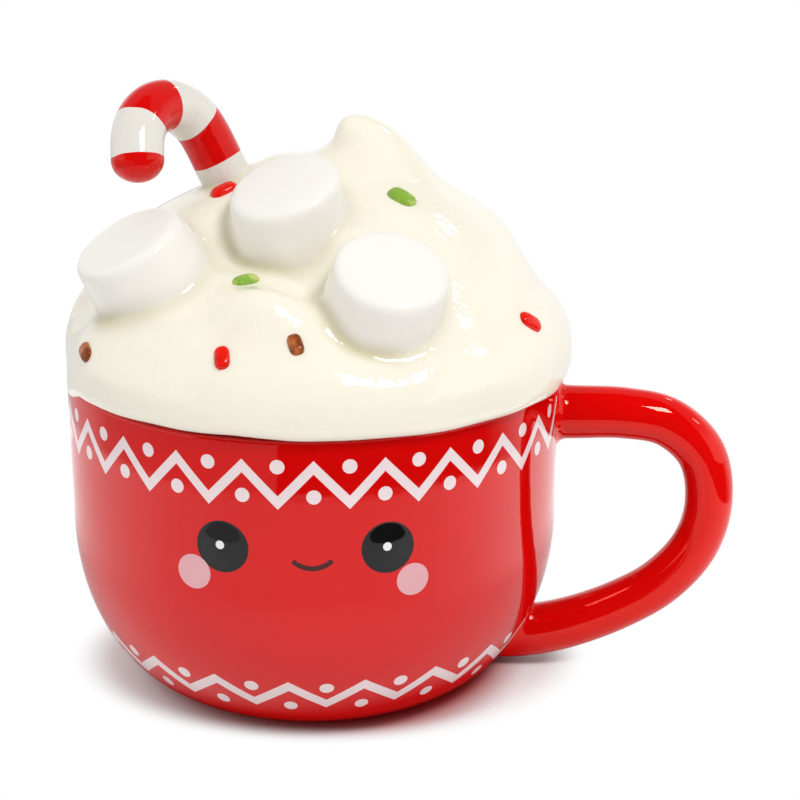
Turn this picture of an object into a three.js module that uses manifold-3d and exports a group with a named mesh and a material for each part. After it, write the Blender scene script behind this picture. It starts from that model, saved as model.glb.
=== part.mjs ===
// A lidded ceramic mug in the look of a cup of hot chocolate, in millimetres, +Z up.
// The origin is the centre of the flat base, the face looks along -Y and the handle points to +X.
// Two solids: the mug with its handle, and the lid, which is moulded as cream with its toppings.
import * as THREE from 'three';
import * as BufferGeometryUtils from 'three/addons/utils/BufferGeometryUtils.js';
import Module from 'manifold-3d';

const wasm = await Module();
wasm.setup();

// The two glazes
const redGlaze = { color: 0xc40c08, roughness: 0.12, metalness: 0 };
const creamGlaze = { color: 0xfbf5e4, roughness: 0.15, metalness: 0 };

// The mug's body
const bodyRadius = 55;
const footRadius = 31;
const bellyHeight = 37.7; // where the rounded underside turns into the upright wall
const rimHeight = 72;
const wallThickness = 4.6;
const floorThickness = 6.2;
const lipRound = 2.2;
const mugSides = 60;
const outerBellySteps = 12;
const innerBellySteps = 9;
const innerBellyRise = 1; // how much higher the inside's rounding ends than the outside's
const roundSteps = 4; // facets in every small quarter round
const cutThrough = 5; // how far a cutting shape runs past the face that it opens

// The handle is one tube: the centres of its bends, out from the axis and up, and its thickness
const handleTurn = -5; // degrees about the axis, towards the face
const handleCourse = [
  [44, 61.8], [58, 61.9], [70, 62], [79.5, 60.2], [87.2, 53.3], [89.7, 42],
  [87.2, 31], [80, 21.6], [70.5, 15.2], [58, 9.8], [48, 7.6], [38, 7.5],
];
const handleRootRadius = 6.4;
const handleOuterRadius = 5.5;
const handleSides = 14;
const handleSteps = 34;

// The lid rests on the rim with a small gap, and its collar drops into the mouth
const seatGap = 0.3;
const seatHeight = rimHeight + seatGap;
const collarDepth = 6.5;
const collarClearance = 1;
const collarThickness = 4;
const collarChamfer = 1;
const collarOverlap = 3; // how far the collar's ring runs into the cream before the hollow is cut
const collarOuter = bodyRadius - wallThickness - collarClearance;
const collarInner = collarOuter - collarThickness;

// The hollow inside the lid: an upright wall, then a dome
const lidHollowSides = 48;
const lidDomeBase = 80;
const lidDomeTop = 109;
const lidDomePower = 1.75; // 2 would be an ellipse, 1 a cone
const lidDomeSteps = 9;

// The cream from its lower edge to its top: radius and height of each level
const creamLevels = [
  [55.8, seatHeight], [57, 73.3], [57.7, 76.4], [57.4, 80], [56, 83.9], [53.7, 87.3], [50.6, 90.9],
  [47.8, 94.8], [44.6, 99.2], [40, 103.8], [33.6, 108], [25.5, 112], [16.5, 115.4], [8, 117.8], [0.9, 118.6],
];
const creamTopOffset = [7, 1]; // the rings close on a pole that lies under the crest
const creamSides = 72;
const creamRings = 28;

// Swells and hollows pushed into the cream, one after the other: centre, reach and how far it moves
const creamPushes = [
  { at: [39, 14, 104], reach: 17, move: [0.8, 0.4, -0.3] }, // right shoulder
  { at: [14.5, 5, 117], reach: 17, move: [0, 0, 8.4] }, // ridge
  { at: [11.5, 3, 125], reach: 9.5, move: [-4, -0.5, 1.4] }, // crest
  { at: [-8, -1, 118], reach: 13, move: [0, 0, 2.4] }, // hump by the crest
  { at: [47, 4, 96], reach: 11, move: [-1.6, 0, -0.4] }, // dimple under the shoulder
  { at: [-55, -12, 80], reach: 27, move: [3.1, 0.6, -0.3] }, // left side
  { at: [-5, -30, 109], reach: 30, move: [0, 0, -8] }, // bowl before the middle
  { at: [-9, -42, 98], reach: 13, move: [0, -2.5, 3.5] }, // front swell
  { at: [-37, -33, 93], reach: 13, move: [-0.6, -0.8, 1.8] }, // swell under the left marshmallow
  { at: [-20, 36, 103], reach: 17, move: [-0.4, 1.2, 1.4] }, // swell at the back
  { at: [6, 44, 98], reach: 14, move: [0, -1.4, -0.6] }, // furrow at the back
  { at: [31, 41, 92], reach: 15, move: [0.8, 1, 0.8] }, // low swell at the back right
  { at: [17, -47, 90], reach: 14, move: [0, 0.8, -1.8] }, // hollow under the front marshmallow
];

// Marshmallows: the middle of the top face and the way that it looks
const marshmallowHeight = 19;
const marshmallowSpread = 1; // how much wider it is at the bottom
const marshmallowRound = 2.1;
const marshmallowCrown = 0.3; // rise of the top face at its middle
const marshmallowSides = 32;
const marshmallows = [
  { radius: 11.8, face: [17.7, -41.5, 103.4], up: [0.162, -0.424, 0.891] }, // front
  { radius: 12.3, face: [-4.4, -22.5, 116.1], up: [-0.25, -0.3, 0.92] }, // middle
  { radius: 12.1, face: [-36.6, -27, 105.4], up: [-0.41, -0.26, 0.87] }, // left
];

// The candy cane: a straight leg, a bend and a round end, in one leaning plane
const caneRadius = 5.5;
const caneFoot = [-18, 0, 112]; // where the leg's centre line meets the cream
const caneLean = 24.9; // degrees from upright
const caneLeanHeading = 188; // degrees in plan from +X
const caneHookHeading = 236.8; // the way in which the hook reaches out, in plan
const caneRoot = 8; // length of leg sunk in the cream
const caneLeg = 11.6;
const caneBend = 11.6; // radius of the bend's centre line
const caneSweep = 144; // degrees
const caneBendSteps = 8;
const caneEnd = 7; // straight length after the bend, with its round tip
const caneTipRound = 4.6;
const caneTipFlat = 0.32; // radius of the flat that closes the tip, as a share of the cane's
const caneSides = 14;
const caneSteps = 32;

// Sprinkles lie on the cream: plan position, direction in plan in degrees, and size
const sprinkleHalf = [2.6, 1.7, 1.3]; // half the length, width and height of a plain one
const sprinkleSides = 6;
const sprinkleRings = 4;
const sprinkles = [
  { at: [19.5, -17], turn: -35, size: 1.15 },
  { at: [46.6, -25], turn: 25, size: 1 },
  { at: [-1.5, -50], turn: 107, size: 1 },
  { at: [-15.8, -50.8], turn: 93, size: 1.05 },
  { at: [-11, -39.5], turn: 30, size: 1 },
  { at: [-17.8, -8], turn: 25, size: 1 },
  { at: [-46.6, -30], turn: 98, size: 0.95 },
  { at: [30, 28], turn: 60, size: 1.05 },
  { at: [6, 37], turn: 10, size: 0.95 },
  { at: [-22, 27], turn: 140, size: 1.1 },
  { at: [-41, 18], turn: 75, size: 1 },
  { at: [14, 50], turn: -20, size: 1 },
  { at: [43, 28], turn: 20, size: 0.95 },
  { at: [-27, 43], turn: -60, size: 1.05 },
];

const weldDistance = 1e-4;
const skyHeight = 300; // above everything, to look down on the cream from

function radians(degrees) {
  return (degrees * Math.PI) / 180;
}

// A closed geometry becomes a solid that can be joined and cut
function toSolid(geometry) {
  const bare = geometry.index ? geometry.toNonIndexed() : geometry.clone();
  bare.deleteAttribute('normal');
  bare.deleteAttribute('uv');
  const merged = BufferGeometryUtils.mergeVertices(bare, weldDistance);
  const corners = merged.index.array;
  const kept = [];
  for (let i = 0; i < corners.length; i += 3) {
    const [a, b, c] = [corners[i], corners[i + 1], corners[i + 2]];
    if (a !== b && b !== c && c !== a) kept.push(a, b, c);
  }
  const mesh = new wasm.Mesh({
    numProp: 3,
    vertProperties: new Float32Array(merged.attributes.position.array),
    triVerts: new Uint32Array(kept),
  });
  return new wasm.Manifold(mesh);
}

function toGeometry(solid) {
  const mesh = solid.getMesh();
  const geometry = new THREE.BufferGeometry();
  geometry.setAttribute('position', new THREE.BufferAttribute(new Float32Array(mesh.vertProperties), 3));
  geometry.setIndex(new THREE.BufferAttribute(new Uint32Array(mesh.triVerts), 1));
  const flat = geometry.toNonIndexed();
  flat.computeVertexNormals();
  return flat;
}

// A turned shape about Z from [radius, height] points, listed upwards along its outside
function turned(profile, sides) {
  const points = profile.map(([radius, height]) => new THREE.Vector2(radius, height));
  const geometry = new THREE.LatheGeometry(points, sides);
  geometry.rotateX(Math.PI / 2);
  return geometry;
}

// A round tube along a curve, whose thickness may change on the way
function tube(curve, sides, steps, radiusAt) {
  const section = new THREE.Shape();
  section.moveTo(1, 0);
  for (let i = 1; i < sides; i++) {
    const angle = (2 * Math.PI * i) / sides;
    section.lineTo(Math.cos(angle), Math.sin(angle));
  }
  section.closePath();
  const geometry = new THREE.ExtrudeGeometry(section, { steps, extrudePath: curve, bevelEnabled: false });
  const centres = curve.getSpacedPoints(steps);
  const position = geometry.attributes.position;
  const corner = new THREE.Vector3();
  for (let i = 0; i < position.count; i++) {
    corner.fromBufferAttribute(position, i);
    let nearest = 0;
    centres.forEach((centre, k) => {
      if (centre.distanceToSquared(corner) < centres[nearest].distanceToSquared(corner)) nearest = k;
    });
    corner.sub(centres[nearest]).multiplyScalar(radiusAt(nearest / steps)).add(centres[nearest]);
    position.setXYZ(i, corner.x, corner.y, corner.z);
  }
  return geometry;
}

// Points on a quarter ellipse that bulges outwards, from its foot to its widest point
function bellyArc(innerRadius, outerRadius, lowHeight, highHeight, steps) {
  const points = [];
  for (let i = 0; i <= steps; i++) {
    const angle = (Math.PI / 2) * (i / steps);
    const radius = innerRadius + (outerRadius - innerRadius) * Math.sin(angle);
    const height = highHeight - (highHeight - lowHeight) * Math.cos(angle);
    points.push([radius, height]);
  }
  return points;
}

// Points on a quarter circle that ends at the given height, from its side to its top.
// With way 1 it rounds an outer edge, with way -1 it flares an inner one.
function edgeRound(sideRadius, topHeight, round, way) {
  const points = [];
  for (let i = 0; i <= roundSteps; i++) {
    const angle = (Math.PI / 2) * (i / roundSteps);
    points.push([
      sideRadius - way * round * (1 - Math.cos(angle)),
      topHeight - round * (1 - Math.sin(angle)),
    ]);
  }
  return points;
}

function makeMug() {
  const outside = [
    [0, 0],
    ...bellyArc(footRadius, bodyRadius, 0, bellyHeight, outerBellySteps),
    ...edgeRound(bodyRadius, rimHeight, lipRound, 1),
    [0, rimHeight],
  ];
  const innerRadius = bodyRadius - wallThickness;
  const innerFoot = footRadius - wallThickness / 2;
  const innerBellyHeight = bellyHeight + innerBellyRise;
  const hollow = [
    [0, floorThickness],
    ...bellyArc(innerFoot, innerRadius, floorThickness, innerBellyHeight, innerBellySteps),
    ...edgeRound(innerRadius, rimHeight, lipRound, -1),
    [innerRadius + lipRound, rimHeight + cutThrough],
    [0, rimHeight + cutThrough],
  ];
  const body = toSolid(turned(outside, mugSides)).add(toSolid(makeHandle()));
  return body.subtract(toSolid(turned(hollow, mugSides)));
}

// The handle, thickest where it grows out of the body
function makeHandle() {
  const course = handleCourse.map(([out, up]) => new THREE.Vector3(out, 0, up));
  const curve = new THREE.CatmullRomCurve3(course, false, 'centripetal');
  const handle = tube(curve, handleSides, handleSteps, (along) => {
    const middle = Math.sin(Math.PI * along);
    return handleRootRadius + (handleOuterRadius - handleRootRadius) * middle;
  });
  handle.rotateZ(radians(handleTurn));
  return handle;
}

function softFalloff(distance, reach) {
  const near = Math.max(0, 1 - distance / reach);
  return near * near * (3 - 2 * near);
}

// The cream's outer skin as rings of points, pushed into its swells. The lowest ring stays round.
function creamSkin() {
  const spline = new THREE.SplineCurve(creamLevels.map((level) => new THREE.Vector2(...level)));
  const rings = spline.getSpacedPoints(creamRings).map((level, i) => {
    const towardsTop = (i / creamRings) ** 2;
    const ring = [];
    for (let k = 0; k < creamSides; k++) {
      const angle = (2 * Math.PI * k) / creamSides;
      ring.push(new THREE.Vector3(
        level.x * Math.cos(angle) + creamTopOffset[0] * towardsTop,
        level.x * Math.sin(angle) + creamTopOffset[1] * towardsTop,
        level.y,
      ));
    }
    return ring;
  });
  for (const push of creamPushes) {
    const centre = new THREE.Vector3(...push.at);
    const move = new THREE.Vector3(...push.move);
    for (const point of rings.slice(1).flat()) {
      point.addScaledVector(move, softFalloff(point.distanceTo(centre), push.reach));
    }
  }
  return rings;
}

// The closed form of the cream: its skin, a flat underside and a small cap on its top ring
function creamGeometry(rings) {
  const positions = [];
  const addCorner = (point) => positions.push(point.x, point.y, point.z);
  for (let i = 0; i < rings.length - 1; i++) {
    for (let k = 0; k < creamSides; k++) {
      const next = (k + 1) % creamSides;
      const [a, b, c, d] = [rings[i][k], rings[i][next], rings[i + 1][next], rings[i + 1][k]];
      [a, b, c, a, c, d].forEach(addCorner);
    }
  }
  const underside = new THREE.Vector3(0, 0, seatHeight);
  const last = rings[rings.length - 1];
  const top = last.reduce((sum, point) => sum.add(point), new THREE.Vector3()).divideScalar(creamSides);
  for (let k = 0; k < creamSides; k++) {
    const next = (k + 1) % creamSides;
    [underside, rings[0][next], rings[0][k]].forEach(addCorner);
    [top, last[k], last[next]].forEach(addCorner);
  }
  const geometry = new THREE.BufferGeometry();
  geometry.setAttribute('position', new THREE.Float32BufferAttribute(positions, 3));
  return geometry;
}

// Place and outward direction of the cream's surface under a point in plan
function creamSurface(geometry, x, y) {
  const mesh = new THREE.Mesh(geometry, new THREE.MeshBasicMaterial({ side: THREE.DoubleSide }));
  const ray = new THREE.Raycaster(new THREE.Vector3(x, y, skyHeight), new THREE.Vector3(0, 0, -1));
  const hit = ray.intersectObject(mesh)[0];
  const normal = hit.face.normal.clone();
  if (normal.z < 0) normal.negate();
  return { point: hit.point, normal };
}

function makeMarshmallow({ radius, face, up }) {
  const profile = [
    [0, -marshmallowHeight],
    [radius + marshmallowSpread, -marshmallowHeight],
    ...edgeRound(radius, 0, marshmallowRound, 1),
    [0, marshmallowCrown],
  ];
  const geometry = turned(profile, marshmallowSides);
  const turn = new THREE.Quaternion();
  turn.setFromUnitVectors(new THREE.Vector3(0, 0, 1), new THREE.Vector3(...up).normalize());
  geometry.applyQuaternion(turn);
  geometry.translate(...face);
  return geometry;
}

// The cane's centre line, root first
function caneCourse() {
  const lean = radians(caneLean);
  const leanHeading = radians(caneLeanHeading);
  const hookHeading = radians(caneHookHeading);
  const sweep = radians(caneSweep);
  const legWay = new THREE.Vector3(
    Math.sin(lean) * Math.cos(leanHeading),
    Math.sin(lean) * Math.sin(leanHeading),
    Math.cos(lean),
  );
  const hookWay = new THREE.Vector3(Math.cos(hookHeading), Math.sin(hookHeading), 0);
  hookWay.addScaledVector(legWay, -hookWay.dot(legWay)).normalize();
  const foot = new THREE.Vector3(...caneFoot);
  const place = (up, out) => foot.clone().addScaledVector(legWay, up).addScaledVector(hookWay, out);
  const points = [place(-caneRoot, 0), place(0, 0), place(caneLeg / 2, 0)];
  for (let i = 0; i <= caneBendSteps; i++) {
    const angle = (sweep * i) / caneBendSteps;
    points.push(place(caneLeg + caneBend * Math.sin(angle), caneBend * (1 - Math.cos(angle))));
  }
  const endWay = place(Math.cos(sweep), Math.sin(sweep)).sub(foot);
  points.push(points[points.length - 1].clone().addScaledVector(endWay, caneEnd));
  return new THREE.CatmullRomCurve3(points, false, 'centripetal');
}

function makeCane() {
  const curve = caneCourse();
  const length = curve.getLength();
  return tube(curve, caneSides, caneSteps, (along) => {
    const toTip = (1 - along) * length;
    const share = Math.max(0, 1 - toTip / caneTipRound);
    return caneRadius * Math.max(caneTipFlat, Math.sqrt(1 - share * share));
  });
}

function makeSprinkle(cream, { at, turn, size }) {
  const geometry = new THREE.SphereGeometry(size, sprinkleSides, sprinkleRings);
  geometry.rotateX(Math.PI / 2);
  geometry.scale(...sprinkleHalf);
  geometry.rotateZ(radians(turn));
  const { point, normal } = creamSurface(cream, ...at);
  const tilt = new THREE.Quaternion();
  tilt.setFromUnitVectors(new THREE.Vector3(0, 0, 1), normal);
  geometry.applyQuaternion(tilt);
  geometry.translate(point.x, point.y, point.z);
  return geometry;
}

// The ring that drops into the mug's mouth, with a chamfered lower edge
function makeCollar() {
  const low = seatHeight - collarDepth;
  const high = seatHeight + collarOverlap;
  const inner = collarInner - collarOverlap;
  const profile = [
    [inner, low], [collarOuter - collarChamfer, low], [collarOuter, low + collarChamfer],
    [collarOuter, high], [inner, high], [inner, low],
  ];
  return turned(profile, mugSides);
}

// The shape that hollows the lid out from below
function makeLidHollow() {
  const low = seatHeight - collarDepth - cutThrough;
  const profile = [[0, low], [collarInner, low]];
  for (let i = 0; i < lidDomeSteps; i++) {
    const angle = (Math.PI / 2) * (i / lidDomeSteps);
    profile.push([
      collarInner * Math.cos(angle) ** (2 / lidDomePower),
      lidDomeBase + (lidDomeTop - lidDomeBase) * Math.sin(angle) ** (2 / lidDomePower),
    ]);
  }
  profile.push([0, lidDomeTop]);
  return turned(profile, lidHollowSides);
}

function makeLid() {
  const cream = creamGeometry(creamSkin());
  const additions = [
    makeCollar(),
    ...marshmallows.map(makeMarshmallow),
    makeCane(),
    ...sprinkles.map((sprinkle) => makeSprinkle(cream, sprinkle)),
  ];
  const lid = additions.reduce((whole, addition) => whole.add(toSolid(addition)), toSolid(cream));
  return lid.subtract(toSolid(makeLidHollow()));
}

function piece(name, solid, glaze) {
  const mesh = new THREE.Mesh(toGeometry(solid), new THREE.MeshStandardMaterial(glaze));
  mesh.name = name;
  return mesh;
}

const model = new THREE.Group();
model.add(piece('mug', makeMug(), redGlaze));
model.add(piece('lid', makeLid(), creamGlaze));

export default model;
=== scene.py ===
# A lidded ceramic mug: red glazed body with painted bands and a face, and a lid moulded as cream
# with marshmallows, a candy cane and sprinkles. Sizes are in millimetres, the scene in metres.
import math
import bpy
import numpy as np
from mathutils import Matrix, Vector
from mathutils.bvhtree import BVHTree


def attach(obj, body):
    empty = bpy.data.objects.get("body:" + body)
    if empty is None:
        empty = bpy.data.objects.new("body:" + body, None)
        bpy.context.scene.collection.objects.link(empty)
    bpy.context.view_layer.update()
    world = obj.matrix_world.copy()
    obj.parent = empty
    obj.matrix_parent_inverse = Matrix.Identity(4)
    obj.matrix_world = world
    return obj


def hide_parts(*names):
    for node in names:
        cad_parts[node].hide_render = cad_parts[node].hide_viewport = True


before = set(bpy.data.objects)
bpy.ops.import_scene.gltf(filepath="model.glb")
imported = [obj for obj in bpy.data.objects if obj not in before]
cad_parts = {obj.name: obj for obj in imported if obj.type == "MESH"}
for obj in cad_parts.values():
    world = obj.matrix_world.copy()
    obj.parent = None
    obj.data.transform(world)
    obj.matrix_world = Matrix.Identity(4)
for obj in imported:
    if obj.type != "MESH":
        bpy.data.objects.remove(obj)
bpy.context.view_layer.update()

mm = 0.001


# Small helpers for modelling by operators

def deselect():
    if bpy.context.object and bpy.context.object.mode != "OBJECT":
        bpy.ops.object.mode_set(mode="OBJECT")
    bpy.ops.object.select_all(action="DESELECT")


def pick(piece):
    deselect()
    piece.select_set(True)
    bpy.context.view_layer.objects.active = piece


def toMetres(point):
    return tuple(value * mm for value in point)


def placeForGood(piece):
    pick(piece)
    bpy.ops.object.transform_apply(location=True, rotation=True, scale=True)


def applyModifier(piece, kind, **settings):
    pick(piece)
    modifier = piece.modifiers.new(kind.title(), kind)
    for key, value in settings.items():
        setattr(modifier, key, value)
    bpy.ops.object.modifier_apply(modifier=modifier.name)


def combine(piece, other, operation):
    applyModifier(piece, "BOOLEAN", operation=operation, object=other, solver="MANIFOLD")
    removePiece(other)


def removePiece(piece):
    mesh = piece.data
    bpy.data.objects.remove(piece)
    bpy.data.meshes.remove(mesh)


def smoothShade(piece, angle):
    pick(piece)
    bpy.ops.object.shade_smooth_by_angle(angle=math.radians(angle))


def joinInto(piece, others):
    pick(piece)
    for other in others:
        other.select_set(True)
    bpy.ops.object.join()


def startRing(name, sides, radius, middle, tilt=0):
    deselect()
    bpy.ops.mesh.primitive_circle_add(
        vertices=sides, radius=radius * mm, fill_type="NGON", location=toMetres(middle),
        rotation=(0, tilt, 0))
    piece = bpy.context.object
    piece.name = name
    placeForGood(piece)
    bpy.ops.object.mode_set(mode="EDIT")
    bpy.ops.mesh.select_all(action="SELECT")
    return piece


def endRings():
    bpy.ops.mesh.select_all(action="SELECT")
    bpy.ops.mesh.normals_make_consistent(inside=False)
    bpy.ops.object.mode_set(mode="OBJECT")


# A ring is extruded upwards from level to level: radius, height and the shift of its middle
def stackRings(name, levels, sides):
    radius, height, shift = levels[0]
    piece = startRing(name, sides, radius, (*shift, height))
    for nextRadius, nextHeight, nextShift in levels[1:]:
        move = (nextShift[0] - shift[0], nextShift[1] - shift[1], nextHeight - height)
        bpy.ops.mesh.extrude_region_move(TRANSFORM_OT_translate={"value": toMetres(move)})
        grow = nextRadius / radius
        middle = toMetres((*nextShift, nextHeight))
        bpy.ops.transform.resize(value=(grow, grow, 1), center_override=middle)
        radius, height, shift = nextRadius, nextHeight, nextShift
    endRings()
    return piece


def turned(name, profile, sides):
    return stackRings(name, [(radius, height, (0, 0)) for radius, height in profile], sides)


# A round tube in the XZ plane, extruded ring by ring along its course
def tubeAlong(name, course, radii, sides):
    ways = np.gradient(course, axis=0)
    turns = np.arctan2(ways[:, 0], ways[:, 1])
    piece = startRing(name, sides, radii[0], (course[0][0], 0, course[0][1]), turns[0])
    for i in range(1, len(course)):
        move = (course[i][0] - course[i - 1][0], 0, course[i][1] - course[i - 1][1])
        middle = toMetres((course[i][0], 0, course[i][1]))
        bpy.ops.mesh.extrude_region_move(TRANSFORM_OT_translate={"value": toMetres(move)})
        turn = turns[i] - turns[i - 1]
        turn = (turn + math.pi) % (2 * math.pi) - math.pi
        bpy.ops.transform.rotate(value=-turn, orient_axis="Y", center_override=middle)
        grow = radii[i] / radii[i - 1]
        bpy.ops.transform.resize(value=(grow, grow, grow), center_override=middle)
    endRings()
    return piece


# An even, smooth course through a few points
def smoothCourse(points, steps, between=40):
    points = np.array(points, float)
    first = 2 * points[0] - points[1]
    last = 2 * points[-1] - points[-2]
    ring = np.vstack([first, points, last])
    fine = []
    for i in range(1, len(ring) - 2):
        a, b, c, d = ring[i - 1], ring[i], ring[i + 1], ring[i + 2]
        ab, bc, cd = (math.sqrt(np.linalg.norm(q - p)) for p, q in ((a, b), (b, c), (c, d)))
        startWay = ((b - a) / ab - (c - a) / (ab + bc) + (c - b) / bc) * bc
        endWay = ((c - b) / bc - (d - b) / (bc + cd) + (d - c) / cd) * bc
        for t in np.linspace(0, 1, between, endpoint=False):
            cubic = 2 * b - 2 * c + startWay + endWay
            square = -3 * b + 3 * c - 2 * startWay - endWay
            fine.append(b + startWay * t + square * t * t + cubic * t ** 3)
    fine = np.array(fine + [points[-1]])
    lengths = np.concatenate([[0], np.cumsum(np.linalg.norm(np.diff(fine, axis=0), axis=1))])
    even = np.linspace(0, lengths[-1], steps + 1)
    return np.column_stack([np.interp(even, lengths, fine[:, k]) for k in range(fine.shape[1])]), even


def quarterRound(side, top, size, way, steps):
    points = []
    for i in range(steps + 1):
        angle = math.pi / 2 * i / steps
        points.append((side - way * size * (1 - math.cos(angle)), top - size * (1 - math.sin(angle))))
    return points


def belly(innerRadius, outerRadius, low, high, steps):
    points = []
    for i in range(steps + 1):
        angle = math.pi / 2 * i / steps
        radius = innerRadius + (outerRadius - innerRadius) * math.sin(angle)
        points.append((radius, high - (high - low) * math.cos(angle)))
    return points


def vertexPlaces(piece):
    places = np.empty(len(piece.data.vertices) * 3)
    piece.data.vertices.foreach_get("co", places)
    return places.reshape(-1, 3) / mm


def setVertexPlaces(piece, places):
    piece.data.vertices.foreach_set("co", (places * mm).ravel())
    piece.data.update()


def storeShare(piece, name, values):
    attribute = piece.data.attributes.new(name, "FLOAT", "POINT")
    attribute.data.foreach_set("value", np.asarray(values, np.float32))


def weigh(piece, name, values, levels=32):
    group = piece.vertex_groups.new(name=name)
    for level in range(1, levels + 1):
        group.add(np.nonzero(np.round(values * levels) == level)[0].tolist(), level / levels, "REPLACE")


def softStep(low, high, values):
    share = np.clip((np.asarray(values) - low) / (high - low), 0, 1)
    return share * share * (3 - 2 * share)


# Small helpers for materials

def put(tree, kind, inputs=None, **settings):
    made = tree.nodes.new(kind)
    for key, value in settings.items():
        setattr(made, key, value)
    for key, value in (inputs or {}).items():
        if isinstance(value, bpy.types.NodeSocket):
            tree.links.new(value, made.inputs[key])
        else:
            made.inputs[key].default_value = value
    return made


def calc(tree, operation, *values):
    return put(tree, "ShaderNodeMath", dict(enumerate(values)), operation=operation).outputs[0]


def vectorMath(tree, operation, *values):
    return put(tree, "ShaderNodeVectorMath", dict(enumerate(values)), operation=operation).outputs


# The angle round the upright axis, from the front
def headingOf(tree, split):
    return calc(tree, "ARCTAN2", split[0], calc(tree, "MULTIPLY", split[1], -1.0))


def softRange(tree, value, low, high):
    inputs = {"Value": value, "From Min": float(low), "From Max": float(high)}
    return put(tree, "ShaderNodeMapRange", inputs, interpolation_type="SMOOTHSTEP").outputs[0]


def mixColor(tree, share, one, other):
    return put(tree, "ShaderNodeMix", {"Factor": share, 6: one, 7: other}, data_type="RGBA").outputs[2]


def startGroup(name, inputs, outputs):
    group = bpy.data.node_groups.new(name, "ShaderNodeTree")
    for label, kind in inputs:
        group.interface.new_socket(label, in_out="INPUT", socket_type=kind)
    for label, kind in outputs:
        group.interface.new_socket(label, in_out="OUTPUT", socket_type=kind)
    return group, group.nodes.new("NodeGroupInput"), group.nodes.new("NodeGroupOutput")


def newMaterial(name, roughness):
    material = bpy.data.materials.new(name)
    material.use_nodes = True
    tree = material.node_tree
    shader = tree.nodes["Principled BSDF"]
    shader.inputs["Roughness"].default_value = roughness
    shader.inputs["IOR"].default_value = 1.5
    place = put(tree, "ShaderNodeTexCoord").outputs["Object"]
    return material, tree, shader, place


# The slight unevenness of a poured and fired glaze

glaze = {
    "toneScale": 38.0,
    "depth": 1,
    "fineScale": 420.0,
    "fineDepth": 0.3,
}


def makeGlazeGroup():
    group, given, result = startGroup(
        "unevenGlaze",
        [("Place", "NodeSocketVector"), ("Wave", "NodeSocketFloat"), ("Strength", "NodeSocketFloat"),
         ("Fine", "NodeSocketFloat"), ("Relief", "NodeSocketFloat"), ("Relief Depth", "NodeSocketFloat")],
        [("Normal", "NodeSocketVector"), ("Tone", "NodeSocketFloat")])
    value = given.outputs
    place = value["Place"]
    broad = put(group, "ShaderNodeTexNoise", {"Vector": place, "Scale": value["Wave"], "Detail": 1.0})
    tone = put(group, "ShaderNodeTexNoise", {"Vector": place, "Scale": glaze["toneScale"], "Detail": 3.0})
    raised = put(group, "ShaderNodeBump", {
        "Height": value["Relief"], "Strength": 1.0, "Distance": value["Relief Depth"]})
    bump = put(group, "ShaderNodeBump", {
        "Height": broad.outputs[0], "Strength": value["Strength"], "Distance": glaze["depth"] * mm,
        "Normal": raised.outputs[0]})
    small = put(group, "ShaderNodeTexNoise", {"Vector": place, "Scale": glaze["fineScale"], "Detail": 1.5})
    bump = put(group, "ShaderNodeBump", {
        "Height": small.outputs[0], "Strength": value["Fine"], "Distance": glaze["fineDepth"] * mm,
        "Normal": bump.outputs[0]})
    group.links.new(bump.outputs[0], result.inputs["Normal"])
    group.links.new(tone.outputs[0], result.inputs["Tone"])
    return group


# On a material it sets the normal and gives back the tone
def unevenGlaze(tree, shader, glazeGroup, inputs):
    uneven = put(tree, "ShaderNodeGroup", inputs, node_tree=glazeGroup)
    tree.links.new(uneven.outputs["Normal"], shader.inputs["Normal"])
    return uneven.outputs["Tone"]


# The mug

mug = {
    "bodyRadius": 55,
    "footRadius": 31,
    "bellyHeight": 37.7,
    "rimHeight": 72,
    "wall": 4.6,
    "floor": 6.2,
    "hollowStart": 8,  # radius of the flat middle of the inside floor
    "lipRound": 0.8,
    "innerRise": 1,
    "sides": 160,
    "bellySteps": 36,
    "wallLevels": (45, 52, 59, 66),
    "roundSteps": 8,
    "measured": (200, 120),  # steps up the belly and up the wall, for the handle's fillets
    "cutterOver": 5,
    "edgeAngle": 40,
    "recess": 1.1,  # the shallow hollow in the base, inside the foot ring
    "recessRadius": 24,
    "recessEdge": [(0, 1), (1.4, 0.9), (2.2, 0.3), (3, 0)],  # outward from there, and share of the depth
    "clayRadius": 32.5,  # the unglazed foot
    "clayHeight": 0.3,
    "handleTurn": -5,
    "handleCourse": [
        (44, 61.8), (58, 61.9), (70, 62), (79.5, 60.2), (87.2, 53.3), (89.7, 42),
        (87.2, 31), (80, 21.6), (70.5, 15.2), (58, 9.8), (48, 7.6), (38, 7.5),
    ],
    "handleRoot": 6.35,
    "handleOuter": 5.38,
    "handleSides": 48,
    "handleSteps": 120,
    "rootFillet": 2.0,
}

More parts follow.
